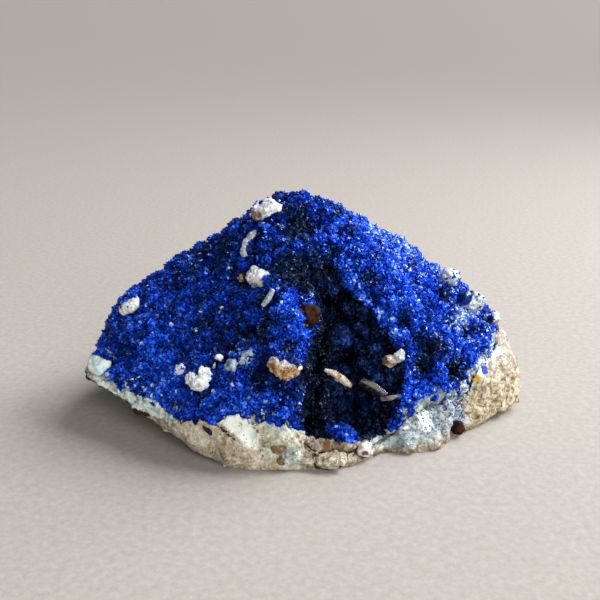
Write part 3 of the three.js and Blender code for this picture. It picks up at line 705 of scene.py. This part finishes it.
def grow(name, surface, crystal, seed, density, height, width, lean, material, tone, keep_clear=True):
    """Grows crystals at random places on a surface, as one mesh. density is how many grow on a square
    millimetre at each point of the surface and tone how bright they are there; height and width are in
    millimetres, and lean is how far crystals lean over."""
    random = np.random.default_rng(seed)
    points, faces, normals = surface
    density = np.broadcast_to(density, len(points))
    tone = np.broadcast_to(tone, len(points))
    corners = points[faces]
    out = normals[faces].mean(1)
    out /= np.linalg.norm(out, axis=1, keepdims=True)
    across = np.cross(corners[:, 2] - corners[:, 0], corners[:, 3] - corners[:, 1])
    area = 0.5 * np.linalg.norm(across, axis=1)
    chosen = np.repeat(np.arange(len(faces)), random.poisson(area * density[faces].mean(1)))
    count = len(chosen)
    u, v = random.random((2, count, 1))
    a, b, c, d = corners[chosen].transpose(1, 0, 2)
    root = (a * (1 - u) + b * u) * (1 - v) + (d * (1 - u) + c * u) * v
    if keep_clear:
        keep = clear_of_stones(root + 0.25 * out[chosen])
        root, chosen = root[keep], chosen[keep]
    count = len(root)
    up = out[chosen] + lean * random.normal(size=(count, 3))
    up /= np.linalg.norm(up, axis=1, keepdims=True)
    side = np.cross(up, random.normal(size=(count, 3)))
    side /= np.linalg.norm(side, axis=1, keepdims=True)
    back = np.cross(up, side)
    tall = height * random.uniform(0.6, 1.35, count)
    broad = width * random.uniform(0.65, 1.4, count)
    thick = broad * random.uniform(0.5, 0.95, count)
    shape = np.array(crystal["points"], float)
    each = len(shape)
    shape = shape[None] * (1 + 0.12 * random.normal(size=(count, each, 1)))
    grown = root[:, None] + shape[..., :1] * (0.5 * broad[:, None, None]) * side[:, None]
    grown = grown + shape[..., 1:2] * (0.5 * thick[:, None, None]) * back[:, None]
    grown = grown + shape[..., 2:] * tall[:, None, None] * up[:, None]
    grown[..., 2] = np.maximum(grown[..., 2], 0.02)
    first = each * np.arange(count)[:, None, None]
    grown_faces = (np.array(crystal["faces"])[None] + first).reshape(-1, 3)
    bright = tone[faces].mean(1)[chosen] * random.uniform(0.4, 1.4, count)
    # Painted shade and light: each crystal's tone is darker at its base and lighter at its tip.
    shade = bright[:, None] * np.array(crystal["shade"])
    add_piece(name, grown.reshape(-1, 3), grown_faces, material, flat=True,
              values={"tone": np.clip(shade, 0, 2).ravel()}, map_places=one_cell_each(count, crystal))


left_share = to_the_left(open_ground)
quartz_there = marks(open_ground, (30.3, -1, 17.8, 1.8, 1.3), (32, 2, 19.5, 2, 1.2))
not_quartz = 1 - 0.85 * np.clip(quartz_there, 0, 1)
blades = 8 * (1 - left_share) * not_quartz
prisms = (2.6 - 1.6 * left_share) * not_quartz
grow("azurite_fine_blades", druse, BLADE, 1, 14 * left_share, 0.35, 0.38, 0.4, azurite, open_tone)
grow("azurite_blades", druse, BLADE, 2, blades, 0.5, 0.55, 0.5, azurite, open_tone)
grow("azurite_prisms", druse, PRISM, 3, prisms, 0.6, 0.62, 0.5, azurite, open_tone)
grow("azurite_blades_in_hollow", deep_druse, BLADE, 9, 8, 0.45, 0.55, 0.5, shaded_dark_azurite,
     deep_tone)

# ---------------------------------------------------------------- fine quartz
# Milky quartz grew as small grains between the azurite clusters, along the right skyline and the crust's
# lower edge, with a few thin splinters on the left slope and a sugary coat on the rock at the front right.
milky = Shader("fine_quartz")
haze = milky.ramp(milky.attribute("tone"), (0.2, (0.10, 0.16, 0.28)), (0.7, (0.36, 0.50, 0.70)),
                  (1.0, (0.80, 0.88, 0.95)))
fine_quartz = milky.finish(haze, 0.25, IOR=1.54)
dusting = 0.02 + marks(open_ground, (14, 8, 34, 4, 1.4), (19, 7, 31, 5, 1.4), (18, 2.5, 29, 3, 0.6),
                       (24, 5, 27, 4, 1.2), (31, 4, 20, 4, 1.2), (36, -2, 14, 3, 1.6),
                       (29, -12, 8.5, 2, 1.5), (-33, -12, 9, 2, 0.6), (-29, -14.5, 9.5, 1.6, 0.6),
                       (-8.5, -24, 9.5, 2, 1.2), (-12, -18, 18.5, 2.2, 0.6),
                       (-14, -17, 19, 2, 0.6)) + 4 * (1 - not_quartz)
grow("quartz_grains", druse, PRISM, 4, dusting, 0.5, 0.6, 0.6, fine_quartz, 0.75)
splinters = 0.005 + 0.012 * left_share * rise(24 - open_ground[:, 2], 0, 6)
grow("quartz_splinters", druse, PRISM, 7, splinters, 1.1, 0.3, 1.2, fine_quartz, 0.9)
rock_side = (rock, rock_faces, point_normals(rock, rock_faces))
front_quartz = zones["quartz"] * (rock[:, 1] < -8) * (rock_out[:, 2] < 0.8)
sugar_coat = 0.35 * front_quartz
grow("quartz_on_rock", rock_side, PRISM, 5, sugar_coat, 0.2, 0.4, 0.6, fine_quartz, 0.6, False)
strays = front_quartz * marks(rock, (28, -13.5, 5.5, 3.5, 5.0), (23, -17.5, 3.5, 3, 1.6))
right_edge = 5 * rise(lip[:, 0], 26, 30) * rise(lip_side[2][:, 2], -0.5, 0)
grow("quartz_on_lip", lip_side, PRISM, 10, right_edge, 0.35, 0.5, 0.8, fine_quartz, 0.85, False)
grow("azurite_on_rock", rock_side, BLADE, 8, strays, 0.2, 0.26, 0.6, azurite, 0.55, False)

# ---------------------------------------------------------------- milky quartz lumps
# Lumps and grains of white quartz sit in pockets of the crust: sugary lumps, a thin crescent, straight
# broken prisms and a clear streak. Azurite grew over their sides, so only part of each is bare.
AZURITE_SKIN = (0.0012, 0.011, 0.13)
LUMP_VOXEL = 0.2  # the mesh size of the lumps, in millimetres
CRYSTALS_ON_SIDES = 13  # on each square millimetre of a lump's overgrown side
stone_sides = []


def cloudy(shader, size):
    """Blotches about size millimetres apart with a fine grain over them, from 0 to 1."""
    return shader.blend(shader.noise(size, 4, 0.6, 2), shader.noise(0.3 * size, 3, 0.6, 3), 0.55)


def grown_over(shader, colour):
    """The colour of a lump, with azurite where its "grown" attribute is high."""
    return shader.mix(shader.attribute("grown"), colour, AZURITE_SKIN)


def set_stone(node, material, seed, shown=None, cell=1.2, depth=0.35, azurite_on_it=0.0, zones=None):
    """Turns a CAD lump into a natural one in the same place. shown is the line along its bare side and how
    far that side reaches from it; without it the whole lump is bare. azurite_on_it is how many crystals
    stand on a square millimetre of the bare side."""
    points, faces = even_mesh(node, LUMP_VOXEL)
    points = smoothed(points, faces, 3)
    out = point_normals(points, faces)
    bare = np.ones(len(points))
    if shown:
        line, reach = shown
        far = far_from_line(points, line) + 0.25 * soft_noise(points, 0.8, seed + 9)
        bare = 1 - rise(far, reach - 0.15, reach + 0.15)
    _, grain_gap, grain_own = cells(points + 0.3 * soft_noise(points, 1.0, seed + 7)[:, None], cell, seed)
    relief = 1.4 * (grain_own - 0.5) * rise(grain_gap, 0, 0.35 * cell)
    relief = depth * (relief + 0.5 * soft_noise(points, 0.7 * cell, seed + 4))
    relief += 0.25 * depth * soft_noise(points, 0.3 * cell, seed + 5)
    points = points + out * (relief * bare + 0.15 * bare - 0.25 * (1 - bare))[:, None]
    points[:, 2] = np.maximum(points[:, 2], 0.02)
    numbers = {name: zone(points) for name, zone in (zones or {}).items()}
    add_piece(node + "_natural", points, faces, material, [node],
              values={"grown": 1 - bare, **numbers})
    cover = CRYSTALS_ON_SIDES * (1 - bare) + azurite_on_it * bare
    stone_sides.append((points, faces, point_normals(points, faces), cover))


def everywhere(value):
    """A zone for set_stone that has the same value all over."""
    return lambda points: np.full(len(points), value)


def spots(*places):
    """A zone for set_stone that is high at a few soft round marks."""
    return lambda points: marks(points, *places)


quartz = Shader("milky_quartz")
cloud = cloudy(quartz, 1.4)
snow = quartz.ramp(cloud, (0.38, (0.34, 0.36, 0.38)), (0.47, (0.68, 0.72, 0.74)), (0.58, (0.93, 0.95, 0.96)))
clear = quartz.ramp(cloud, (0.38, (0.10, 0.14, 0.20)), (0.5, (0.30, 0.37, 0.46)), (0.64, (0.62, 0.72, 0.82)))
milk = quartz.mix(quartz.attribute("clear"), snow, clear)
tawny = quartz.ramp(cloud, (0.4, (0.07, 0.045, 0.035)), (0.5, (0.28, 0.21, 0.17)),
                    (0.62, (0.60, 0.50, 0.43)))
milk = quartz.mix(quartz.band(quartz.attribute("warm"), 0.3, 0.6), milk, tawny)
milk = quartz.mix(quartz.band(quartz.attribute("red"), 0.4, 0.7), milk, (0.22, 0.03, 0.02))
quartz.bump(quartz.noise(0.5, 3, 0.6, 4), 0.25, 0.8)
milky_quartz = quartz.finish(grown_over(quartz, milk), 0.3, IOR=1.54)
CRESCENT = [(-8.8, -3, 36.8), (-10.6, -3.4, 36), (-11.7, -4.2, 34.9), (-12.3, -5, 33.3), (-12, -5.3, 32.4)]
# Each with its bare side, how clear it is, how many crystals stand on it and where it is stained.
quartz_lumps = [
    ("quartz_crest_lump", ([(-9.4, -0.3, 39.5), (-7.4, -0.4, 40.8), (-5.6, 0.6, 41.2)], 1.75), 0.1, 0,
     spots((-10.2, -0.8, 38.8, 1.9, 1.0))),
    ("quartz_crescent", (CRESCENT, 0.95), 0.25, 0, spots()),
    ("quartz_knob", None, 0.2, 0, spots((-9.6, -10, 28.4, 1.0, 0.8))),
    ("quartz_lens", ([(-12.1, -18.4, 17.4), (-10, -18.6, 18.8)], 1.4), 1.0, 0.8, spots()),
    ("quartz_streak", ([(-14.6, -20, 16.3), (-12.2, -19, 17.4)], 1.3), 1.0, 0.8, spots()),
    ("quartz_shoulder_lump", ([(-36.3, -2.9, 20.7), (-34.3, -3.3, 21.4), (-33, -2.9, 22.3)], 1.35), 0.2, 0.3,
     spots((-35.8, -1.8, 22.8, 1.3, 0.6))),
    ("quartz_skyline_lump", None, 0.75, 1.0, spots()),
    ("quartz_end_patch", None, 0.85, 0.3, spots()),
    ("quartz_end_knob", None, 0.1, 0, spots((38, 2, 16, 1.3, 0.8))),
]
for number, (node, shown, clearness, azurite_on_it, warm) in enumerate(quartz_lumps):
    set_stone(node, milky_quartz, 100 + 10 * number, shown, 1.0, 0.5, azurite_on_it,
              {"clear": everywhere(clearness), "warm": warm})
set_stone("quartz_foot_knob", milky_quartz, 190, None, 1.0, 0.3,
          zones={"red": spots((10.1, -24.6, 1.9, 0.8, 1.0)), "warm": spots((11.5, -23.4, 2.4, 1, 0.5))})


def cut_crystal(line, radii, flatness, sides, seed):
    """An angular crystal as points and triangles: rings of corners round a line of places, each ring with
    its own radius, drawn tight into flat faces, and then slightly worn along its edges."""
    random = np.random.default_rng(seed)
    line = np.array(line, float)
    along = line[-1] - line[0]
    along /= np.linalg.norm(along)
    side = np.cross(along, (0, 1, 0.3))
    side /= np.linalg.norm(side)
    back = np.cross(along, side)
    solid = bmesh.new()
    for place, radius in zip(line, radii):
        turns = (np.arange(sides) + random.uniform(-0.2, 0.2, sides)) * 2 * np.pi / sides
        for turn in turns:
            reach = radius * random.uniform(0.88, 1.1)
            corner = place + reach * (np.cos(turn) * side + flatness * np.sin(turn) * back)
            solid.verts.new(corner + along * radius * random.uniform(-0.15, 0.15))
    bmesh.ops.convex_hull(solid, input=solid.verts)
    inside = [vertex for vertex in solid.verts if not vertex.link_faces]
    bmesh.ops.delete(solid, geom=inside, context="VERTS")
    bmesh.ops.dissolve_limit(solid, angle_limit=0.2, verts=solid.verts, edges=solid.edges)
    bmesh.ops.bevel(solid, geom=solid.edges[:], offset=0.07, segments=2, affect="EDGES", profile=0.5)
    bmesh.ops.triangulate(solid, faces=solid.faces)
    solid.verts.index_update()
    points = np.array([vertex.co for vertex in solid.verts])
    faces = np.array([[vertex.index for vertex in face.verts] for face in solid.faces])
    solid.free()
    return points, faces


def put_together(parts):
    """Several meshes as one: its points and its faces."""
    starts = np.cumsum([0] + [len(points) for points, faces in parts[:-1]])
    joined = [faces + start for (points, faces), start in zip(parts, starts)]
    return np.concatenate([points for points, faces in parts]), np.concatenate(joined)


def add_crystal(node, crystal, material, slot, **numbers):
    """Adds a cut crystal in place of a CAD node. numbers gives the values that its material reads."""
    points, faces = crystal
    values = {key: np.ones(len(points)) * number for key, number in numbers.items()}
    add_piece(node + "_natural", points, faces, material, [node], True, values)


prism = cut_crystal([(-8, -13.8, 25.8), (-7, -13.9, 27.2), (-6.2, -13.6, 28.8)],
                    (0.5, 0.55, 0.45), 0.8, 6, 1)
add_crystal("quartz_blade", prism, milky_quartz, "quartz", clear=0.8)
tan_half = cut_crystal([(14.1, -14.4, 15.4), (15.2, -14, 14.9), (15.8, -13, 14.5)],
                       (0.9, 1.4, 1.1), 0.9, 6, 2)
white_half = cut_crystal([(16, -13.2, 15), (16.8, -13.4, 15.9), (17.4, -13.2, 16.9)],
                         (1.0, 1.25, 0.6), 0.9, 5, 5)
grain = put_together([tan_half, white_half])
is_tan = np.arange(len(grain[0])) < len(tan_half[0])
add_crystal("quartz_tan_grain", grain, milky_quartz, "quartz", warm=is_tan, clear=0.5)

# ---------------------------------------------------------------- smoky quartz
# A broken plate of clear smoky quartz and a paler splinter beside it lean across the dark hollow, wedged
# between azurite clusters.
smoky = Shader("smoky_quartz")
smoke = smoky.ramp(cloudy(smoky, 1.6), (0.4, (0.01, 0.01, 0.012)), (0.5, (0.035, 0.034, 0.036)),
                   (0.62, (0.16, 0.16, 0.18)))
lilac = smoky.ramp(cloudy(smoky, 1.2), (0.4, (0.16, 0.13, 0.13)), (0.6, (0.62, 0.55, 0.55)))
smoke = smoky.mix(smoky.attribute("pale"), smoke, lilac)
smoky_quartz = smoky.finish(smoke, 0.14, IOR=1.54, Transmission_Weight=0.45)
plate = cut_crystal([(9.6, -14.8, 11.5), (11.6, -15.1, 10.5), (14.2, -15.9, 8.9)],
                    (1.0, 1.5, 0.9), 0.6, 6, 7)
splinter = cut_crystal([(13.4, -16, 8.4), (15, -16.2, 8.6), (17, -16.3, 9.3)], (0.45, 0.65, 0.3), 0.7, 5, 8)
add_crystal("smoky_quartz_plate", plate, smoky_quartz, "smoky_quartz", pale=0.0)
add_crystal("smoky_quartz_splinter", splinter, smoky_quartz, "smoky_quartz", pale=1.0)

# ---------------------------------------------------------------- kaolin chips
# Chips and crumbs of chalk-white kaolin clay lie in the crust on the left slope. They are soft and matt, and
# break into small rounded knobs.
chalk = Shader("kaolin")
chalky = chalk.ramp(cloudy(chalk, 1.0), (0.37, (0.40, 0.46, 0.56)), (0.47, (0.82, 0.86, 0.90)),
                    (0.6, (0.97, 0.98, 0.99)))
chalk.bump(chalk.noise(0.4, 3), 0.3, 0.8)
kaolin = chalk.finish(grown_over(chalk, chalky), 0.85)
CHIP = [(-21.0, -19.6, 14.0), (-20, -20.3, 13.6), (-18.6, -20.6, 13.4), (-18.0, -19.8, 15.4)]
set_stone("kaolin_chip", kaolin, 400, (CHIP, 1.5), 1.0, 0.8)
CRUMB = [(-15.9, -17.9, 17.4), (-15.8, -17.8, 17.6)]
set_stone("kaolin_crumb", kaolin, 410, (CRUMB, 0.6), 0.8, 0.4)
set_stone("clay_chip", kaolin, 420, None, 0.9, 0.5, 1.2)

# ---------------------------------------------------------------- limonite
# Rusty limonite shows as a granular lump under the pillar, a thin ribbed plate in the hollow and a low shelf
# and two small spots in the rock at the foot. Azurite caps the two larger ones.
rust = Shader("limonite")
rusts = rust.ramp(cloudy(rust, 1.1), (0.39, (0.09, 0.03, 0.008)), (0.46, (0.36, 0.18, 0.06)),
                  (0.57, (0.70, 0.52, 0.32)))
rusts = rust.mix(rust.attribute("brown"), rusts, (0.13, 0.07, 0.03))
sand = rust.ramp(cloudy(rust, 0.8), (0.39, (0.12, 0.09, 0.05)), (0.47, (0.34, 0.29, 0.20)),
                 (0.58, (0.66, 0.62, 0.50)))
rusts = rust.stain(rusts, "sandy", rust.noise(0.9, 3), 0.9, 1.1, sand)
bleach = rust.ramp(cloudy(rust, 0.9), (0.4, (0.36, 0.34, 0.30)), (0.52, (0.80, 0.82, 0.82)))
rusts = rust.stain(rusts, "bleached", rust.noise(0.9, 3), 0.8, 1.0, bleach)
rust.bump(rust.noise(0.5, 3), 0.35, 0.9)
limonite = rust.finish(grown_over(rust, rusts), 0.75)
BAND = [(-7, -21, 19), (-4.2, -22.6, 18.9), (-1.5, -22.2, 17.8)]
LUMP = [(-6, -22.2, 17.6), (-4.1, -23.2, 17.1), (-2.3, -22.4, 16.4)]
set_stone("limonite_lump", limonite, 500, (LUMP, 1.9), 0.8, 0.4,
          zones={"bleached": lambda points: near_line(points, BAND, 0.8)})
rib_line = [(3.1, -15.1, 13.9), (4.6, -14.2, 12.6), (6.4, -13.5, 11), (8.1, -13.3, 9.7)]
rib = cut_crystal(rib_line, (0.35, 0.9, 0.95, 0.45), 0.6, 7, 11)
add_crystal("limonite_blade", rib, limonite, "limonite", bleached=0.4)
set_stone("limonite_shelf", limonite, 520, None, 1.1, 0.5,
          zones={"sandy": lambda points: 0.7 - marks(points, (3.4, -25.4, 3.6, 1.3, 0.5))})
in_rock = {"brown": everywhere(0.75)}
set_stone("limonite_spot_upper", limonite, 530, None, 0.9, 0.3, zones=in_rock)
set_stone("limonite_spot_lower", limonite, 540, None, 0.9, 0.3, zones=in_rock)

# ---------------------------------------------------------------- ironstone
# Dark brown ironstone: a grain at the foot of the quartz knob, a larger piece seated at the top of the
# hollow with a red spot and a gritty rim, and a small patch in the rock at the front right.
iron = Shader("ironstone")
irons = iron.ramp(cloudy(iron, 1.6), (0.38, (0.003, 0.002, 0.0015)), (0.5, (0.022, 0.009, 0.005)),
                  (0.64, (0.05, 0.02, 0.011)))
irons = iron.mix(iron.band(iron.attribute("rusty"), 0.35, 0.8), irons, (0.36, 0.09, 0.03))
grit = iron.ramp(iron.noise(0.6, 4, 0.7, 5), (0.4, (0.09, 0.08, 0.07)), (0.6, (0.52, 0.50, 0.44)))
irons = iron.stain(irons, "gritty", iron.noise(0.7, 3), 0.8, 1.0, grit)
iron.bump(iron.noise(0.5, 3), 0.25, 0.7)
ironstone = iron.finish(grown_over(iron, irons), 0.6, Specular_IOR_Level=0.06)
SEAT_RIM = [(-2, -14.8, 25.2), (-1.4, -15.3, 23.2), (0.2, -15.5, 22)]
SEAT = [(-1.7, -15.2, 24.9), (1.3, -14.4, 24.9), (0.5, -15.1, 23)]
set_stone("ironstone_seat", ironstone, 610, (SEAT, 1.5), 1.4, 0.4,
          zones={"rusty": spots((-1.5, -14.8, 25.0, 0.8, 1.2)),
                 "gritty": lambda points: 0.5 * near_line(points, SEAT_RIM, 0.7)})
set_stone("ironstone_grain", ironstone, 600, None, 1.0, 0.3,
          zones={"gritty": spots((-12.6, -7.6, 29, 1, 0.7))})
set_stone("ironstone_patch", ironstone, 620, None, 1.0, 0.4,
          zones={"rusty": spots((28.5, -15.4, 1.8, 1.5, 0.5))})

# ---------------------------------------------------------------- azurite ball
# One azurite cluster on the right skyline grew into a smooth dark ball of its own. It is the same mineral as
# the crust that it sits in, with crystals too fine to stand out.
set_stone("azurite_ball", azurite, 800, None, 0.9, 0.12, zones={"tone": everywhere(0.3)})

# ---------------------------------------------------------------- chrysocolla
# A patch of waxy, pale blue-green copper silicate fills the low left tip of the crust. It set as a smooth
# mass without crystals, and the azurite ends against it.
wax = Shader("chrysocolla")
waxy = wax.ramp(wax.noise(2.2, 4), (0.34, (0.34, 0.68, 0.74)), (0.46, (0.72, 0.94, 0.97)),
                (0.6, (0.95, 1.0, 1.0)))
wax.bump(wax.noise(0.7, 3), 0.2, 0.5)
chrysocolla = wax.finish(grown_over(wax, waxy), 0.4)
TIP = [(-43, -5.2, 9.8), (-41.2, -6.6, 9.8), (-38.6, -7.6, 8.9)]
set_stone("chrysocolla_patch", chrysocolla, 700, (TIP, 2.9), 2.2, 0.3)

# ---------------------------------------------------------------- azurite over the lumps
# The azurite went on growing after the lumps of other minerals had settled on it: the same small blue
# crystals climb from the crust over the sides of the lumps and lock them in.
over = [side for side in stone_sides if side[3].max() > 0]
lump_points, lump_faces = put_together([side[:2] for side in over])
lump_sides = (lump_points, lump_faces, np.concatenate([side[2] for side in over]))
cover = np.concatenate([side[3] for side in over])
# The crystals on the lumps take the same painted light and shade as the crust.
lump_tone = brightness(lump_points)
grow("azurite_on_lumps", lump_sides, BLADE, 6, cover, 0.42, 0.45, 0.5, azurite, lump_tone, False)
